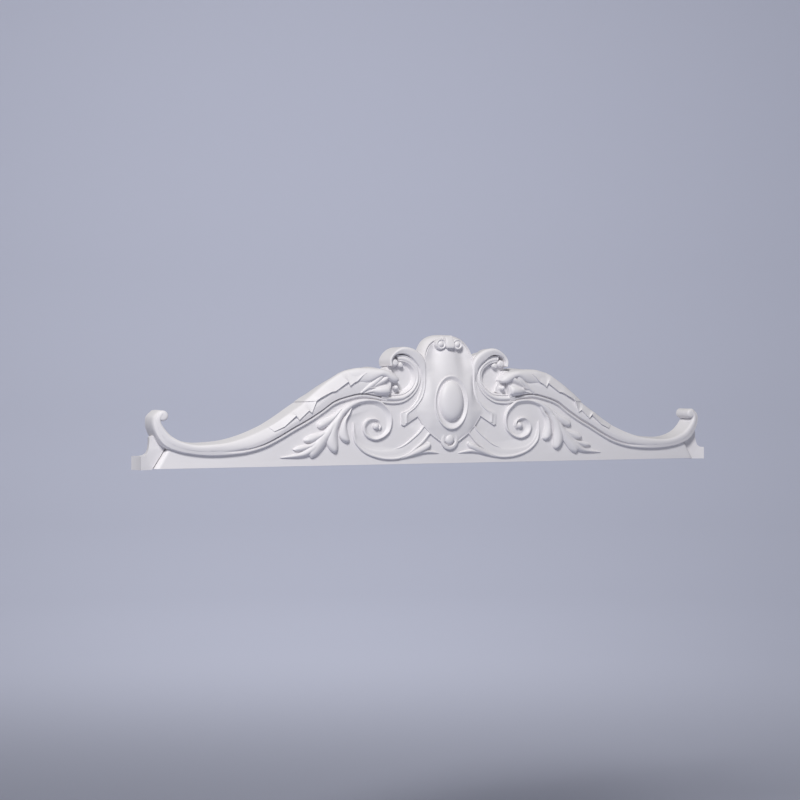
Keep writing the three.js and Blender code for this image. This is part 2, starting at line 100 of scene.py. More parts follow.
# %% [markdown]
# ## From rows of points to a closed body
#
# A moulding could be a curve with a bevel object, but its two edges here run apart and together, so it is
# a grid that is bent over the stations instead. The grid is zipped into a tube where its last column
# meets its first, and its two ends are filled, which gives the join at the end a closed body. Mirroring
# the body makes the other half.

# %% Helpers that make a body
bodies = []


def finish_body(name, shape, mirrored):
    bmesh.ops.remove_doubles(shape, verts=shape.verts, dist=0.02 * MM)
    open_edges = [edge for edge in shape.edges if edge.is_boundary]
    if open_edges:
        bmesh.ops.holes_fill(shape, edges=open_edges, sides=0)
    bmesh.ops.triangulate(shape, faces=[face for face in shape.faces if len(face.verts) > 4])
    if mirrored:
        everything = shape.verts[:] + shape.edges[:] + shape.faces[:]
        bmesh.ops.mirror(shape, geom=everything, matrix=Matrix.Identity(4), merge_dist=-1, axis="X")
    bmesh.ops.recalc_face_normals(shape, faces=shape.faces)
    mesh = bpy.data.meshes.new(name)
    shape.to_mesh(mesh)
    shape.free()
    body = bpy.data.objects.new(name, mesh)
    bodies.append(body)
    return body


def bent_grid(name, rows, mirrored=True):
    shape = bmesh.new()
    around = len(rows[0])
    bmesh.ops.create_grid(shape, x_segments=around, y_segments=len(rows) - 1, size=1)
    shape.verts.ensure_lookup_table()
    for i, row in enumerate(rows):
        for j, point in enumerate([*row, row[0]]):
            shape.verts[i * (around + 1) + j].co = point
    return finish_body(name, shape, mirrored)


def turned(name, u, z, radius_u, radius_z, profile, sides, mirrored=True):
    shape = bmesh.new()
    ring = [shape.verts.new((r, -e * MM, 0)) for r, e in profile]
    for first, second in zip(ring, ring[1:]):
        shape.edges.new((first, second))
    bmesh.ops.spin(
        shape, geom=shape.verts[:] + shape.edges[:], cent=(0, 0, 0), axis=(0, 1, 0), angle=2 * math.pi,
        steps=sides, use_merge=True, use_duplicate=False,
    )
    bmesh.ops.scale(shape, vec=(radius_u * MM, 1, radius_z * MM), verts=shape.verts)
    bmesh.ops.translate(shape, vec=(u * MM, 0, z * MM), verts=shape.verts)
    return finish_body(name, shape, mirrored)


# %% [markdown]
# A moulding runs between two edges. Each station is the outer edge, the inner edge and the rise above the
# ground. A sixth number says how far the outer wall leans out towards the back, or in where a leaf stands
# free of the wall. The section lists a share of the way across, a shift in millimetres, a share of the
# rise, and, inside the ear, a share of the drop to the ear's floor. The shift keeps a fillet the same
# width where the moulding narrows.


# %% Mouldings, strokes and flat plates
def moulding(name, stations, section, steps, straight=False, wall=False, mirrored=True):
    read = line([row if len(row) > 5 else (*row, DRAFT) for row in stations], straight)
    rows = []
    for i in range(steps + 1):
        t = i / steps
        ou, oz, iu, iz, rise, lean = read(t)
        outer, inner = Vector((ou, oz)), Vector((iu, iz))
        across = (inner - outer).normalized()
        row, reached = [], 0
        for share, shift, lift, *drop in section(t) if callable(section) else section:
            reached = max(reached + 0.01, share * (inner - outer).length + shift)
            p = outer + across * reached
            row.append(at(p.x, p.y, GROUND + rise * lift - (GROUND - EAR_FLOOR) * (drop[0] if drop else 0)))
        back = outer - across * lean
        row.insert(0, at(back.x, back.y, 0) if wall else at(outer.x, outer.y, ROOT))
        row.append(at(inner.x, inner.y, 0 if wall else ROOT))
        rows.append(row)
    return bent_grid(name, rows, mirrored)


def stroke(name, stations, section, steps, mirrored=True):
    read = line(stations)
    rows = []
    for i in range(steps + 1):
        t = i / steps
        u, z, half_width, rise = read(t)
        ahead = Vector(read(min(1, t + 0.01))[:2]) - Vector(read(max(0, t - 0.01))[:2])
        across = Vector((-ahead.y, ahead.x)).normalized() * max(half_width, 0.4)
        row = [at(u + across.x * s, z + across.y * s, GROUND + rise * lift) for s, lift in section]
        row.insert(0, at(u - across.x, z - across.y, ROOT))
        row.append(at(u + across.x, z + across.y, ROOT))
        rows.append(row)
    return bent_grid(name, rows, mirrored)


def plate(name, levels, mirrored=True):
    rows = [[at(u, z, e(u, z) if callable(e) else e) for u, z in outline] for outline, e in levels]
    return bent_grid(name, rows, mirrored)


print("helpers ready")

# %% [markdown]
# ## The field and the end blocks
#
# Behind the lower carving lies a flat field. Beside each end block its edge is planed to a mitre, wide at
# the bottom and narrow at the top, and the block's own face slopes back to meet it. Both are outlines
# lifted through a few levels, as a carver would plane them, and the upper edge of the mitre is rounded
# over. A narrow cut parts the two.

# %% Field and end blocks
UPPER_EDGE = [
    (560, -84), (530, -88), (480, -90), (440, -83), (400, -72), (360, -53), (330, -35), (300, -15), (270, 8),
    (240, 20), (200, 12), (160, 4), (125, 0), (106, 0), (90, 6), (76, 20), (66, 36),
]
FRONT_BOTTOM = BOTTOM + DRAFT / 2
MITRE_FOOT = 606  # where the mitre meets the bottom edge
MITRE_HEAD = 581  # and where it ends above


def field_level(foot_u, top_u, low):
    half = [(foot_u, low), (top_u, -85), *UPPER_EDGE]
    return [*half, *[(-u, z) for u, z in reversed(half)]]


plate(
    "field",
    [
        (field_level(MITRE_FOOT, MITRE_HEAD, BOTTOM), 0),
        (field_level(MITRE_FOOT, MITRE_HEAD, FRONT_BOTTOM), BLOCK_STEP + 2),
        (field_level(604.6, 580, FRONT_BOTTOM), BLOCK_STEP + 6),
        (field_level(602.4, 578.6, FRONT_BOTTOM), GROUND - 1.6),
        (field_level(599.5, 576.5, FRONT_BOTTOM), GROUND - 0.3),
        (field_level(596, 574, FRONT_BOTTOM), GROUND),
    ],
    mirrored=False,
)
BLOCK_FACE = HALF_LENGTH - 2 * DRAFT  # the outer edge of the block's face
BLOCK_BACK = [
    (HALF_LENGTH, BOTTOM), (HALF_LENGTH, -99), (627, -99), (620, -98), (614, -94), (610.5, -87),
    (609, -77), (609, -66), (596, -58), (576, -76), (MITRE_HEAD, -86), (MITRE_FOOT, BOTTOM),
]
BLOCK_FRONT = [
    (BLOCK_FACE, BOTTOM), (BLOCK_FACE, -99), (629, -99), (624, -98), (619.5, -94), (617, -87),
    (615.5, -77), (615, -66), (596, -58), (576, -76), (MITRE_HEAD, -86), (MITRE_FOOT, BOTTOM),
]
GROOVE = 7  # the depth of the cut between the block and the mitre
CUT = 3.2  # and its width
MITRE_START = 9  # the points from here on run along the mitre


def block_face(u, z):
    return BLOCK_STEP + (GROUND - BLOCK_STEP) * max(0, (u - MITRE_FOOT) / (BLOCK_FACE - MITRE_FOOT))


block_front = [(u + (CUT if i >= MITRE_START else 0), z) for i, (u, z) in enumerate(BLOCK_FRONT)]
plate(
    "end_block",
    [(BLOCK_BACK, 0), (BLOCK_FRONT, lambda u, z: block_face(u, z) - GROOVE), (block_front, block_face)],
)
print("bodies so far:", [body.name for body in bodies])

# %% [markdown]
# ## The S-shaped rail
#
# The rail is a cyma: it swells from its upper edge, falls away into a thin groove and ends in a fillet
# along its lower edge. The groove and the fillet die away at the lower end, where the rail rolls into a
# curl above the block.

# %% Rail and curl
RAIL = [
    (594, -26, 601, -18, 9), (598, -36, 613.5, -31, 9), (593, -47, 611.5, -54, 9),
    (578, -63, 594, -80, 9), (556, -74, 567, -92, 9), (530, -79.5, 534, -98.5, 9),
    (500, -79, 500, -101, 9), (470, -76, 463, -100, 9), (440, -69, 427, -96, 9),
    (410, -58.5, 393, -87, 9), (380, -45, 362, -73, 9), (350, -27, 332, -57, 9), (320, -9, 304, -43, 9),
    (290, 16, 275, -26, 9, -3), (260, 37.5, 250, -9.5, 9, -5), (230, 53.5, 220, 0, 9, -8),
    (200, 60, 190, 5, 9, -6), (165, 60.5, 162, 1, 9), (127, 55, 140, -4, 9),
]
PLAIN_RAIL = 0.36  # up to this share of its length the rail has no groove
CUT_IN = 0.2  # and over this share more the groove deepens


def rail_section(t):
    cut = min(1, max(0, (t - PLAIN_RAIL) / CUT_IN))
    full = [
        (0, 0, -0.3), (0, 0.8, 0.05), (0.04, 0, 0.22), (0.1, 0, 0.34), (0.2, 0, 0.52), (0.3, 0, 0.7),
        (0.4, 0, 0.86), (0.5, 0, 0.97), (0.58, 0, 1), (1, -9, 0.8), (1, -7.9, 0.4), (1, -7, 0.02),
        (1, -6.2, -0.04), (1, -5.3, 0.42), (1, -4.6, 0.58), (1, -2.4, 0.58), (1, -1.1, 0.4), (1, 0, -0.1),
    ]
    plain = [
        -0.3, 0.3, 0.62, 0.84, 0.96, 1, 0.98, 0.94, 0.9, 0.86, 0.84, 0.82, 0.8, 0.78, 0.76, 0.7, 0.5, -0.1,
    ]
    return [(share, shift, flat + (lift - flat) * cut) for (share, shift, lift), flat in zip(full, plain)]


moulding("rail", RAIL, rail_section, 96, wall=True)
CURL_TOP = GROUND + 8
turned(
    "curl", 594.5, -27.8, 10, 9.5,
    [(0, 0), (1.1, 0), (1, CURL_TOP - 4), (0.93, CURL_TOP - 1.2), (0.8, CURL_TOP), (0.5, CURL_TOP + 0.6),
     (0, CURL_TOP + 0.6)],
    32,
)
print("rail faces:", len(bodies[-2].data.polygons))

# %% [markdown]
# ## The leaf over the rail
#
# A long leaf wraps the upper side of the rail in two layers, the upper lapped over the lower. Its lower
# edge is cut into teeth and stands a little proud of the rail. Each layer is a moulding too, read with
# straight lines from tooth to notch.

# %% Leaf layers
LOWER_LEAF = [
    (388, -49, 377.5, -57.5, 9.5), (368, -38, 358, -49, 11), (346, -24, 334, -29, 11.5),
    (337, -18.5, 328, -37, 11.5), (320, -8, 308, -20, 11.5), (311, -1, 302, -24, 11.5, 0),
    (302, 7, 290, 3, 11.5, -2),
]
UPPER_LEAF = [
    (316, -3, 293, -2, 11.5, 3), (298, 11, 284, 4, 12.5, -2), (275, 28, 261, 15, 12.5, -4),
    (264, 35.5, 253, 16, 12.5, -5), (240, 50, 226, 34, 12.5, -7), (228, 55, 222, 26, 12.5, -8),
    (218, 57.5, 214, 32, 12.5, -8), (210, 59, 207, 35, 12.5, -7), (200, 60.5, 197, 44, 12.5, -5),
    (189, 61, 187, 51, 12.5, -3),
]
LEAF_SECTION = [
    (0, 0, -0.3), (0, 0.8, 0.1), (0.08, 0, 0.3), (0.2, 0, 0.44), (0.4, 0, 0.6), (0.6, 0, 0.74),
    (0.8, 0, 0.89), (0.92, 0, 0.97), (1, -0.6, 1.02), (1, -0.1, 0.98), (1, 0, 0.6),
]
moulding("lower_leaf", LOWER_LEAF, LEAF_SECTION, 48, straight=True, wall=True)
moulding("upper_leaf", UPPER_LEAF, LEAF_SECTION, 63, straight=True, wall=True)

# %% [markdown]
# ## The folded head of the leaf
#
# The leaf ends in a fold that rolls over towards the middle. It has a heavy upper mass, two lobes that
# show under its edge, a blunt fold below, and a bead in the corner. Each is a stroke with a round back,
# laid over the last.

# %% Leaf head
HEAD = [
    (225, 55, 212, 30, 8, -8), (205, 60, 198, 32, 10.5, -5), (188, 61, 185, 32, 12.5, -3),
    (176, 61, 175, 35, 14.5, 0), (164, 60.5, 166, 39.5, 16, 2), (154, 59.5, 157, 44, 17),
    (145, 58, 147, 43, 17), (134, 55, 138, 37.5, 17), (124, 50, 130, 33.5, 16.5), (117, 44, 123, 33, 14),
    (114.5, 39, 118, 34.5, 10),
]
HEAD_SECTION = [
    (0, 0, 0), (0, 0.8, 0.3), (0.06, 0, 0.5), (0.16, 0, 0.76), (0.3, 0, 0.92), (0.45, 0, 0.99), (0.6, 0, 1),
    (0.78, 0, 0.96), (0.9, 0, 0.86), (0.97, 0, 0.7), (1, 0, 0.45),
]
LOBE = [
    (-1, 0.05), (-0.92, 0.4), (-0.75, 0.7), (-0.5, 0.9), (-0.2, 0.99), (0.2, 0.99), (0.5, 0.9), (0.75, 0.7),
    (0.92, 0.4), (1, 0.05),
]
moulding("head", HEAD, HEAD_SECTION, 44, wall=True)
stroke(
    "head_lobe_1",
    [(150, 49, 4, 14), (160, 40, 7, 14.5), (171, 31.5, 7, 13), (185, 22, 5.5, 10.8), (198, 13, 2.5, 9)],
    LOBE, 24,
)
stroke(
    "head_lobe_2",
    [(138, 47, 4, 14), (146, 40, 6.5, 15.5), (157, 34, 6, 14), (172, 25, 2.5, 10.5)],
    LOBE, 20,
)
stroke(
    "fold",
    [(174, 18.5, 5, 9.5), (165, 18, 7.5, 13.5), (156, 18, 9.5, 16.5), (148, 18.5, 10.5, 17.5),
     (141, 19, 11, 17), (137, 19, 10, 14)],
    LOBE, 24,
)
stroke("crease_1", [(196, 18, 0.8, 8.5), (184, 22, 1.3, 10.5), (168, 23.5, 1.3, 12)], LOBE, 12)
stroke("crease_2", [(190, 12.5, 0.8, 7.5), (180, 15.5, 1.3, 9.5), (166, 17, 1.3, 11.5)], LOBE, 12)
turned(
    "head_bead", 121, 23.5, 4.6, 4.6,
    [(0, ROOT), (1, ROOT), (1, 36), (0.9, 38.5), (0.6, 40.5), (0, 41.5)], 20,
)
print("bodies:", len(bodies))

# %% [markdown]
# ## The ear
#
# Beside the cartouche the rail's lower moulding turns up into a C, and a hood closes over it. The floor
# inside the C is sunk, and a small lip runs round it. The hood thins to a strap that runs down beside the
# shield, turns out and is cut off square.

# %% Hood, inner C and the floor of the ear
HOOD = [
    (133, 65, 127, 67, 9), (134.5, 76, 128, 76, 9), (129, 86, 122, 84, 9), (118, 95.5, 113, 87.5, 9, 2),
    (105, 101, 103, 88, 9, 0), (90, 100.5, 93, 85, 9, -3), (76, 96, 82, 77.5, 8.5, -8),
    (62, 86, 73, 69, 7.8, -8), (54, 73, 66.5, 60, 7, -4), (53, 60, 63, 48, 6.4),
    (52.5, 44, 62.5, 36, 6.2), (53, 28, 64, 20, 6), (57, 10, 71, 3, 6), (65, -3, 80, -9, 6),
    (76, -15, 91, -19, 6), (88, -25, 107, -25, 6), (92, -31, 108, -30, 6), (92, -42, 106.5, -47.5, 5.6),
]
WIDE_HOOD = 0.5  # up to this share of its length it is a hood
THINNING = 0.12  # and over this share more it turns into a strap


def hood_section(t):
    strap = min(1, max(0, (t - WIDE_HOOD) / THINNING))
    hood = [0.2, 0.6, 0.85, 0.98, 1, 0.94, 0.86, 0.78, 0.6, 0.3]
    foot = [0.5, 0.66, 0.8, 0.96, 1, 0.66, 0.36, 0.2, 0.1, 0]
    shares = [0, 0.03, 0.1, 0.22, 0.34, 0.52, 0.72, 0.9, 0.97, 1]
    return [(share, 0, high + (low - high) * strap) for share, high, low in zip(shares, hood, foot)]


moulding("hood", HOOD, hood_section, 80, wall=True)
INNER_C = [
    (152, -5, 150, 17, 6.5), (128, -7.5, 128, 17, 6.5), (108, -6, 108, 17.5, 6), (95, -1, 97, 21, 5.6),
    (84, 6, 89, 26, 5), (74, 16, 83, 33, 4.5), (66, 29, 80, 41, 4), (62.5, 42, 80, 50, 3.6),
    (63, 56, 83.5, 57.5, 3.4), (71, 69, 89, 63, 3), (84, 80, 96, 67, 3), (99, 86, 104, 69, 2.4),
    (116, 86, 110, 70, 2),
]
C_SECTION = [
    (0, 0, -0.3), (0, 0.8, 0.5), (0.05, 0, 0.66), (0.16, 0, 0.62), (0.2, 0, 0.3), (0.24, 0, 0.28),
    (0.29, 0, 0.72), (0.36, 0, 0.96), (0.43, 0, 1), (0.5, 0, 0.9), (0.57, 0, 0.62), (0.62, 0, 0.25),
    (0.65, 0, 0.2), (0.67, 0, 0.42), (0.71, 0, 0.45), (0.74, 0, 0.2), (0.8, 0, -0.1, 0.2),
    (0.9, 0, -0.1, 0.65), (1, 0, 0, 1),
]
moulding("inner_c", INNER_C, C_SECTION, 72)
turned("ear_eye", 107, 67, 5.6, 5.6, [(0, ROOT), (1, ROOT), (1, 27), (0.9, 30), (0.6, 32.2), (0, 33)], 20)
turned("hood_roll", 120.5, 71, 8.5, 7.5, [(0, ROOT), (1, ROOT), (1, 28), (0.9, 31), (0.6, 34), (0, 35)], 24)
PAN = [(58, 84), (76, 92), (104, 98), (128, 86), (131, 66), (140, 50), (150, 0), (112, -5), (78, 6), (60, 30)]
STEP = [(126, 57), (121, 45), (115, 33), (110, 23), (108, 16), (150, 4), (165, 30), (160, 58)]
plate("ear_floor", [(PAN, 0), (PAN, EAR_FLOOR)])
plate("ear_step", [(STEP, 0), (STEP, GROUND - 2)])
print("bodies:", len(bodies))

# %% [markdown]
# ## The spiral and the crescent
#
# Under the rail a narrow moulding leaves the leaf and winds one and a half turns round an eye. It is high
# on its outer side and slopes down to the ground inside, so it is run between two edges as the rail is. A
# flat crescent cups it and runs in under the oval with a thin fillet, and a small leaf ends at its foot.

# %% Spiral and crescent
SPIRAL = [
    (226, -24, 223.5, -40, 1), (222, -14, 219.5, -26, 5), (214, -7, 211, -16.5, 6.5),
    (203, -2.5, 202, -11, 7), (185, 1, 188, -8, 7), (169, 1.5, 172, -8.5, 7), (154, -1, 159, -12, 7),
    (142, -10, 149, -17.5, 7), (133, -19, 142, -25.5, 7), (128, -31, 138, -36, 6.5),
    (128, -45, 138, -48, 6), (132, -58, 141.5, -58, 6), (142, -68, 148.5, -64.5, 6),
    (154, -74, 157, -67.5, 6), (165, -76, 165, -68, 6), (176, -73.5, 172, -64.5, 6),
    (185, -68, 177, -59, 6), (190, -60, 179, -54, 6), (191.5, -51, 177.5, -48.5, 6.2),
    (189.5, -43, 172, -43.5, 6.4), (183, -37, 167, -41, 6.6), (175, -34, 161.5, -41, 7),
    (166, -34, 158.5, -43.5, 7), (158, -37, 157.5, -46, 7), (152.5, -43, 158.5, -49, 7),
    (151.5, -50, 160, -50.5, 7), (155, -56, 162, -51, 6),
]
SPIRAL_SECTION = [
    (0, 0, 0.1), (0, 0.4, 0.7), (0, 1.2, 0.95), (0.18, 0, 1), (0.3, 0, 0.98), (0.38, 0, 0.84),
    (0.52, 0, 0.52), (0.68, 0, 0.27), (0.84, 0, 0.1), (0.95, 0, 0.03), (1, 0, -0.05),
]
moulding("spiral", SPIRAL, SPIRAL_SECTION, 156)
turned("spiral_eye", 163, -49.5, 6, 6, [(0, ROOT), (1, ROOT), (1, 33), (0.9, 36), (0.6, 38), (0, 38.8)], 24)
CRESCENT = [
    (211, -41, 208, -44, 2), (212, -52, 206, -54, 4), (212, -64, 203, -64, 4.5),
    (207, -81, 196, -78, 4.5), (191, -97, 182, -88, 4.5), (170, -107, 163, -93, 4.5),
    (143, -113, 140, -94, 4.5), (115, -113, 117, -91.5, 4.5), (92, -106, 98, -83, 4.5),
    (75, -94, 84, -73, 4.5), (60, -83, 71, -62, 4.5), (43, -65, 60, -47, 4.5),
]
CRESCENT_SECTION = [
    (0, 0, 0.1), (0, 0.4, 0.8), (0, 1.4, 1), (0, 3.2, 0.98), (0, 4.4, 0.6), (0, 5.2, 0.5), (0.5, 0, 0.5),
    (0.75, 0, 0.42), (1, -1.6, 0.2), (1, 0, 0),
]
moulding("crescent", CRESCENT, CRESCENT_SECTION, 64)
stroke(
    "crescent_fillet",
    [(56, -49, 2.2, 4.4), (69, -63.5, 2.2, 4.2), (91, -80.5, 2, 3.6), (106, -89, 1.6, 2.8),
     (120, -93.5, 0.8, 1)],
    LOBE, 32,
)
stroke(
    "small_leaf",
    [(108, -112, 1, 3), (86, -104, 4, 6), (66, -96, 6.5, 8), (50, -89, 6, 8), (43, -83, 3, 5)],
    LOBE, 24,
)
stroke(
    "small_leaf_back",
    [(74, -102, 3, 5), (54, -99, 3.4, 5), (38, -100, 2.4, 4), (22, -103, 0.8, 1)],
    LOBE, 16,
)
print("spiral stations:", len(SPIRAL))

# %% [markdown]
# ## The leaf spray
#
# A leaf falls from the start of the spiral, with three long lobes below, three short ones above and a
# thin tip. Each lobe is a small moulding between its own two edges, with steep sides and a soft ridge, so
# the valleys stay deep.

# %% Spray
SPRAY = [
    [(217, -12, 212, -13, 5), (224, -25, 218, -25, 7), (235, -39, 225, -37, 8.5), (240, -56, 225, -52, 9),
     (241, -66, 221, -67, 9), (237, -74, 219, -75.5, 8.5), (229, -79.5, 221, -79, 5)],
    [(232, -14, 220, -14, 6), (249, -31, 228, -25, 8), (258, -42, 237, -38, 9.5), (264, -57, 244, -54, 10),
     (268, -72, 245, -67, 10), (267, -83, 244, -80, 10), (262, -91, 244, -90, 9.5),
     (257, -95.5, 246, -95.5, 7.5), (252, -98, 250, -98, 4)],
    [(240, -22, 232, -24, 6), (258, -40, 246, -44, 8.5), (273, -57, 255, -62, 9.5), (288, -71, 265, -76, 9.5),
     (300, -83, 274, -88, 9.5), (306, -92, 282, -97, 9), (307, -99.5, 289, -103, 7.5),
     (301, -106.5, 297, -107, 4)],
    [(270, -55, 262, -68, 8), (290, -74, 276, -84, 9), (306, -87, 291, -95, 9), (322, -96.5, 310, -104, 7),
     (340, -101, 331, -106.5, 5), (363, -105, 361, -107, 2)],
    [(236, -14, 238, -20, 5), (254, -27, 250, -35, 7), (268, -33, 258, -43, 8.5),
     (280, -37.5, 267, -49.5, 8.5), (287, -44, 275, -52.5, 8), (287, -50, 282, -53, 5)],
    [(266, -52, 264, -59, 6), (280, -60, 275, -67, 8), (296, -63, 286, -75, 8.5), (307, -66.5, 296, -79, 8.5),
     (314, -72, 304, -79, 7.5), (315, -76, 311, -77.5, 4)],
    [(290, -74, 288, -81, 6), (302, -80.5, 298, -88, 7.5), (316, -83, 310, -92, 7.5), (329, -86, 321, -95, 7),
     (337.5, -90.5, 331, -94.5, 4)],
]
SPRAY_SECTION = [
    (0, 0, 0), (0, 0.4, 0.45), (0.12, 0, 0.72), (0.28, 0, 0.9), (0.42, 0, 0.99), (0.55, 0, 1), (0.7, 0, 0.9),
    (0.85, 0, 0.72), (1, -0.4, 0.45), (1, 0, 0),
]
for number, lobe in enumerate(SPRAY, 1):
    moulding(f"spray_{number}", lobe, SPRAY_SECTION, 24)
stroke(
    "spray_stem",
    [(180, 0, 2, 5), (198, -3, 3.5, 7), (216, -9.5, 5, 8), (232, -21, 6.5, 8), (244, -34, 6, 7)],
    LOBE, 24,
)
print("bodies:", len(bodies))

# %% [markdown]
# ## The cartouche
#
# A shield stands behind the oval boss. It is bent from slices, each with a height at its middle, its
# flanks and its edge, so that above the oval it swells down its middle between two hollows. The dish
# round the boss is cut out of it afterwards.

# %% Shield, oval, bead and crest
SHIELD = [
    (119, 10, 22, 21.5, 20), (115, 26, 24, 21.5, 21.5), (110, 34, 26, 21.5, 23),
    (104, 40.5, 28, 22.5, 24.5), (97, 45.5, 30.5, 23.5, 26), (88, 50, 33, 25.5, 28.5),
    (78, 53, 35.5, 27.5, 30), (66, 54.5, 38, 31.5, 33), (50, 55, 40.5, 36, 34.5),
    (34, 54.5, 41, 39.5, 34.5), (15, 57, 41, 41.5, 34.5), (-2, 64, 41, 41.5, 34.5),
    (-14, 72, 41, 41, 34.5), (-22, 76, 41, 41, 34.5), (-31, 71, 41, 40.5, 34.5),
    (-38, 66, 40.5, 40, 34.5), (-49, 58.5, 39.5, 38.5, 34.5), (-57, 51, 38, 37, 34.5),
    (-64.5, 44, 36.5, 36, 34.5), (-80, 21, 34.5, 34.5, 34.5),
]
SLICES = 96
POINTS = 44  # from one edge of a slice to the other
read_shield = line(SHIELD)
slices = []
for i in range(SLICES + 1):
    z, w, centre, flank, rim = read_shield(i / SLICES)
    outside, inside = min(w * 0.85, 46), min(w * 0.6, 32)
    flare = flank + (rim - flank) / 2 if rim > flank else flank - 1
    half = [
        (w, rim - 1.5), (w - 0.8, rim), (w - 2.4, rim), (outside, flare), (inside, flank), (w * 0.2, centre),
    ]
    across = line([*half, *[(-u, e) for u, e in reversed(half)]])
    surface = [at(u, z, e) for u, e in map(across, [j / POINTS for j in range(POINTS + 1)])]
    slices.append([at(w, z, 0), *surface, at(-w, z, 0)])
shield = bent_grid("shield", slices, mirrored=False)
dish_room = turned("dish_room", 0, -4.5, 34, 48, [(0, 38), (1, 38), (1.2, 61), (0, 61)], 64, mirrored=False)
bodies.remove(shield)
bodies.remove(dish_room)
ARM = [
    (0, 50), (54, 50), (60, 36), (62, 21), (69, 4), (78, -9), (90, -19), (107, -25), (106.5, -47), (102, -49),
    (71.5, -31), (60, -47.5), (44, -64.5), (21, -80), (0, -80),
]
plate("strap_ground", [(ARM, 0), (ARM, 34)])
turned(
    "oval_rim", 0, -4.5, 38, 52.5,
    [(0, ROOT), (1, ROOT), (1, 41.2), (0.985, 42.6), (0.96, 43), (0.93, 42.4), (0.88, 40.2), (0.83, 38.6),
     (0.78, 38), (0, 38)],
    72, mirrored=False,
)
turned(
    "oval_boss", 0, -2, 27, 39.5,
    [(0, ROOT), (1, ROOT), (1, 39), (0.97, 42), (0.9, 45), (0.8, 47.2), (0.65, 49), (0.45, 50.2),
     (0.2, 50.9), (0, 51)],
    64, mirrored=False,
)
turned(
    "bead_ring", 0, -76.5, 19.5, 19.5,
    [(0, ROOT), (1, ROOT), (1, 34), (0.97, 35.5), (0.9, 36.2), (0.72, 36.2), (0.66, 35), (0.62, 31), (0, 31)],
    48, mirrored=False,
)
turned(
    "bead", 0, -76, 10.4, 10.4,
    [(0, ROOT), (1, ROOT), (1, 32), (0.92, 35), (0.7, 37.5), (0.4, 38.7), (0, 39)], 36, mirrored=False,
)
CREST = [
    (57, 74, 50, 68), (58, 85, 50, 73), (56.5, 93, 46.5, 85), (52.5, 103, 41.5, 95.5), (44.5, 114, 35.5, 102),
    (33, 121.5, 25, 109), (18, 125.8, 14, 111), (0, 126.5, 0, 112.5),
]
read_rim = line([(e,) for e in (32, 31, 28.5, 26.5, 25, 24, 23.5, 23.5)])


def crest_section(t):
    rim = read_rim(t)[0] - GROUND
    return [
        (0, 0, 4 - GROUND), (0.03, 0, rim - 14), (0.14, 0, rim - 7.5), (0.28, 0, rim - 3),
        (0.38, 0, rim - 0.6), (0.43, 0, rim + 1), (0.5, 0, rim + 1.2), (0.57, 0, rim - 0.4),
        (0.66, 0, rim - 2.6), (0.8, 0, rim - 3.6), (1, 0, rim - 5),
    ]


moulding("crest", [(*row, 1, 0) for row in CREST], crest_section, 48, wall=True)
turned(
    "crest_volute", 18.5, 108, 11.5, 10.6,
    [(0, ROOT), (1, ROOT), (1, 30), (0.96, 33), (0.88, 34.6), (0.78, 34.8), (0.7, 33.2), (0.6, 32.6),
     (0.5, 33.4), (0.42, 35), (0.2, 36.2), (0, 36.4)],
    32,
)
TONGUE_SECTION = [
    (-1, 0.2), (-0.97, 0.84), (-0.86, 0.97), (-0.5, 1), (0, 1), (0.5, 1), (0.86, 0.97), (0.97, 0.84),
    (1, 0.2),
]
stroke(
    "tongue",
    [(0, 125.2, 7.5, -6), (0, 121.5, 8.3, 1.5), (0, 115, 8.5, 6.5), (0, 108, 8.5, 9), (0, 103, 8, 10),
     (0, 100, 6.5, 9)],
    TONGUE_SECTION, 20, mirrored=False,
)
print("bodies:", len(bodies) + 2)

# %% [markdown]
# ## One casting
#
# In the real mould all this is one skin. A Boolean with the Manifold solver joins closed bodies quickly
# and leaves clean creases where they meet. The dish is cut first, then everything is added.


# %% Join the bodies
def join(base, operation, others):
    group = bpy.data.collections.new("operands")
    for other in others:
        group.objects.link(other)
    modifier = base.modifiers.new("join", "BOOLEAN")
    modifier.operation = operation
    modifier.solver = "MANIFOLD"
    modifier.operand_type = "COLLECTION"
    modifier.collection = group
    reading = bpy.context.evaluated_depsgraph_get()
    joined = bpy.data.meshes.new_from_object(base.evaluated_get(reading))
    base.modifiers.clear()
    base.data = joined
    bpy.data.collections.remove(group)


bpy.context.scene.collection.objects.link(shield)
bpy.context.view_layer.update()
join(shield, "DIFFERENCE", [dish_room])
join(shield, "UNION", bodies)
casting = shield
casting.name = "scroll_casting"
for body in [*bodies, dish_room]:
    bpy.data.objects.remove(body)
triangles = sum(len(face.vertices) - 2 for face in casting.data.polygons)
print("casting:", len(casting.data.vertices), "points,", triangles, "triangles")

# %% [markdown]
# Smooth shading hides the facets of the rounded forms, and edges that turn by more than 38 degrees stay
# sharp, as the creases of the casting do.

# %% Smooth rounds, sharp creases
CREASE = 38  # degrees
skin = bmesh.new()
skin.from_mesh(casting.data)
bmesh.ops.remove_doubles(skin, verts=skin.verts, dist=0.01 * MM)
bmesh.ops.dissolve_degenerate(skin, edges=skin.edges, dist=0.01 * MM)
for face in skin.faces:
    face.smooth = True
    face.material_index = 0
skin.to_mesh(casting.data)
skin.free()
casting.data.set_sharp_from_angle(angle=math.radians(CREASE))
casting.data.materials.clear()
print("size in mm:", [round(v * 1000, 1) for v in casting.dimensions])

# %% [markdown]
# ## Factory primer on polyurethane
#
# Rigid polyurethane foam takes a smooth skin from the mould and is sprayed with a white primer. That
# gives the eye a satin-matte white with a faint orange peel from the spray, a few softer patches, and no
# grain. The peel is about 0.8 mm across, too fine to show at this distance, so it is drawn at about 2 mm.


# %% Primer
def colour(code):
    channels = [int(code[i : i + 2], 16) / 255 for i in (1, 3, 5)]
    return (*[c / 12.92 if c <= 0.04045 else ((c + 0.055) / 1.055) ** 2.4 for c in channels], 1)


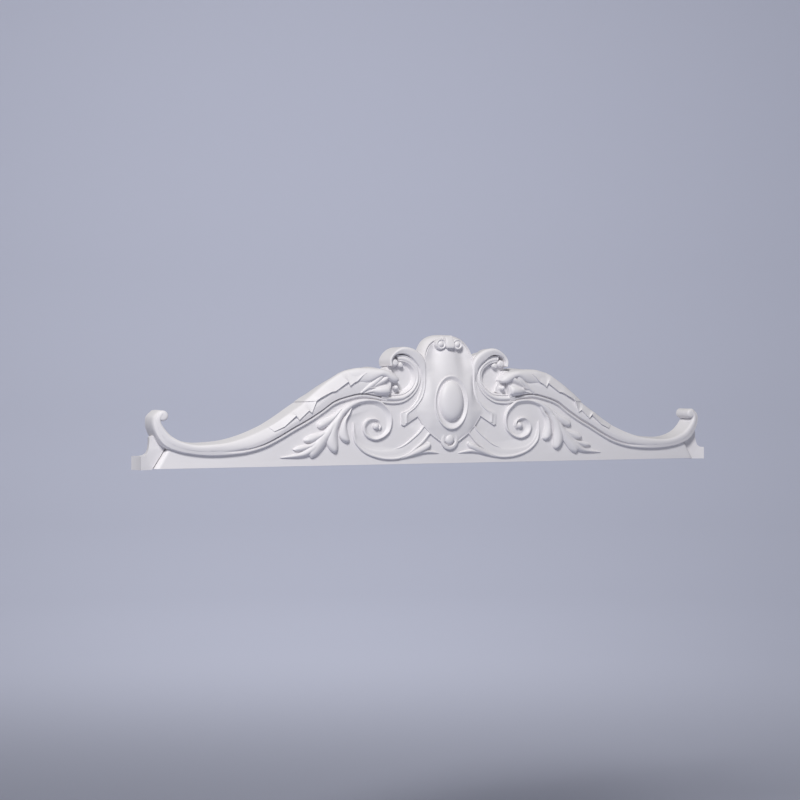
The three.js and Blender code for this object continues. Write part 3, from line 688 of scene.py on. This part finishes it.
def add_node(tree, kind, links=(), **settings):
    node = tree.nodes.new(kind)
    for name, value in settings.items():
        if hasattr(node, name):
            setattr(node, name, value)
        else:
            node.inputs[name.replace("_", " ")].default_value = value
    for source, output, target in links:
        tree.links.new(source.outputs[output], node.inputs[target])
    return node


primer = bpy.data.materials.new("primed_polyurethane_finish")
primer.use_nodes = True
tree = primer.node_tree
surface = tree.nodes["Principled BSDF"]
surface.inputs["Base Color"].default_value = colour("#ECEAED")
surface.inputs["IOR"].default_value = 1.48
place = add_node(tree, "ShaderNodeTexCoord")
patches = add_node(tree, "ShaderNodeTexNoise", [(place, "Object", "Vector")], Scale=9.0, Detail=3.0)
tint = add_node(tree, "ShaderNodeValToRGB", [(patches, "Fac", "Fac")])
tint.color_ramp.elements[0].color = colour("#E9E7EA")
tint.color_ramp.elements[1].color = colour("#F0EEF0")
tree.links.new(tint.outputs["Color"], surface.inputs["Base Color"])
gloss = add_node(tree, "ShaderNodeMapRange", [(patches, "Fac", "Value")], To_Min=0.42, To_Max=0.56)
tree.links.new(gloss.outputs["Result"], surface.inputs["Roughness"])
peel = add_node(tree, "ShaderNodeTexNoise", [(place, "Object", "Vector")], Scale=1 / (2 * MM), Detail=2.0)
bump = add_node(tree, "ShaderNodeBump", [(peel, "Fac", "Height")], Strength=0.12, Distance=0.1 * MM)
tree.links.new(bump.outputs["Normal"], surface.inputs["Normal"])
casting.data.materials.append(primer)
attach(casting, "root")
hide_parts("scroll_onlay")
print("primer nodes:", len(tree.nodes))

# %% [markdown]
# ## A plain studio
#
# The casting shows best under a soft light from the upper left, which leaves its shadows below and to the
# right of each form. A weak fill opens those shadows, and a rear light brightens the background alone. A
# pale floor that sweeps up far away keeps the background plain.

# %% Floor and light
sweep = bmesh.new()
curve_up = [(0, -1.1), (4.5, -1.1), (5.6, -1), (6.6, -0.7), (7.4, -0.1), (7.9, 0.8), (8.1, 1.8), (8.2, 3.4)]
ring = [sweep.verts.new((r, 0, z)) for r, z in curve_up]
for first, second in zip(ring, ring[1:]):
    sweep.edges.new((first, second))
bmesh.ops.spin(
    sweep, geom=sweep.verts[:] + sweep.edges[:], cent=(0, 0, 0), axis=(0, 0, 1), angle=2 * math.pi, steps=96,
    use_merge=True, use_duplicate=False,
)
bmesh.ops.remove_doubles(sweep, verts=sweep.verts, dist=1e-5)
for face in sweep.faces:
    face.smooth = True
bmesh.ops.recalc_face_normals(sweep, faces=sweep.faces)
bmesh.ops.reverse_faces(sweep, faces=sweep.faces)
floor_mesh = bpy.data.meshes.new("studio_floor")
sweep.to_mesh(floor_mesh)
sweep.free()
floor = bpy.data.objects.new("studio_floor", floor_mesh)
bpy.context.scene.collection.objects.link(floor)
paper = bpy.data.materials.new("pale_paper")
paper.use_nodes = True
paper.node_tree.nodes["Principled BSDF"].inputs["Base Color"].default_value = colour("#BCC0D1")
paper.node_tree.nodes["Principled BSDF"].inputs["Roughness"].default_value = 0.9
floor_mesh.materials.append(paper)

world = bpy.data.worlds.new("studio_air")
bpy.context.scene.world = world
world.use_nodes = True
world.node_tree.nodes["Background"].inputs["Color"].default_value = colour("#F0F0F2")
world.node_tree.nodes["Background"].inputs["Strength"].default_value = 0.22


def soft_light(name, place, aim, size, watts):
    lamp = bpy.data.lights.new(name, "AREA")
    lamp.shape = "DISK"
    lamp.size = size
    lamp.energy = watts
    lamp.color = (1, 0.985, 0.97)
    holder = bpy.data.objects.new(name, lamp)
    holder.location = place
    holder.rotation_euler = (Vector(aim) - Vector(place)).to_track_quat("-Z", "Y").to_euler()
    bpy.context.scene.collection.objects.link(holder)


soft_light("key", (-1.9, -2.3, 2.2), (0, 0, 0), 0.9, 108)
soft_light("fill", (1.8, -2.8, 0.6), (0, 0, 0), 2.0, 7)
soft_light("rear", (1.0, 3.0, 2.8), (4.2, 7.2, 0.2), 2.5, 150)

# %% [markdown]
# ## The camera
#
# The camera is level with the middle of the casting, about 3.4 m away and 30 degrees to its left, with a
# long lens, so that its verticals stay upright.

# %% Camera
lens = bpy.data.cameras.new("camera")
lens.lens = 79.4
lens.sensor_width = 36
camera = bpy.data.objects.new("camera", lens)
camera.location = (-1.789, -2.941, 0)
camera.rotation_euler = (math.radians(90), 0, math.radians(-30))
bpy.context.scene.collection.objects.link(camera)
bpy.context.scene.camera = camera
bpy.context.scene.view_settings.view_transform = "Standard"
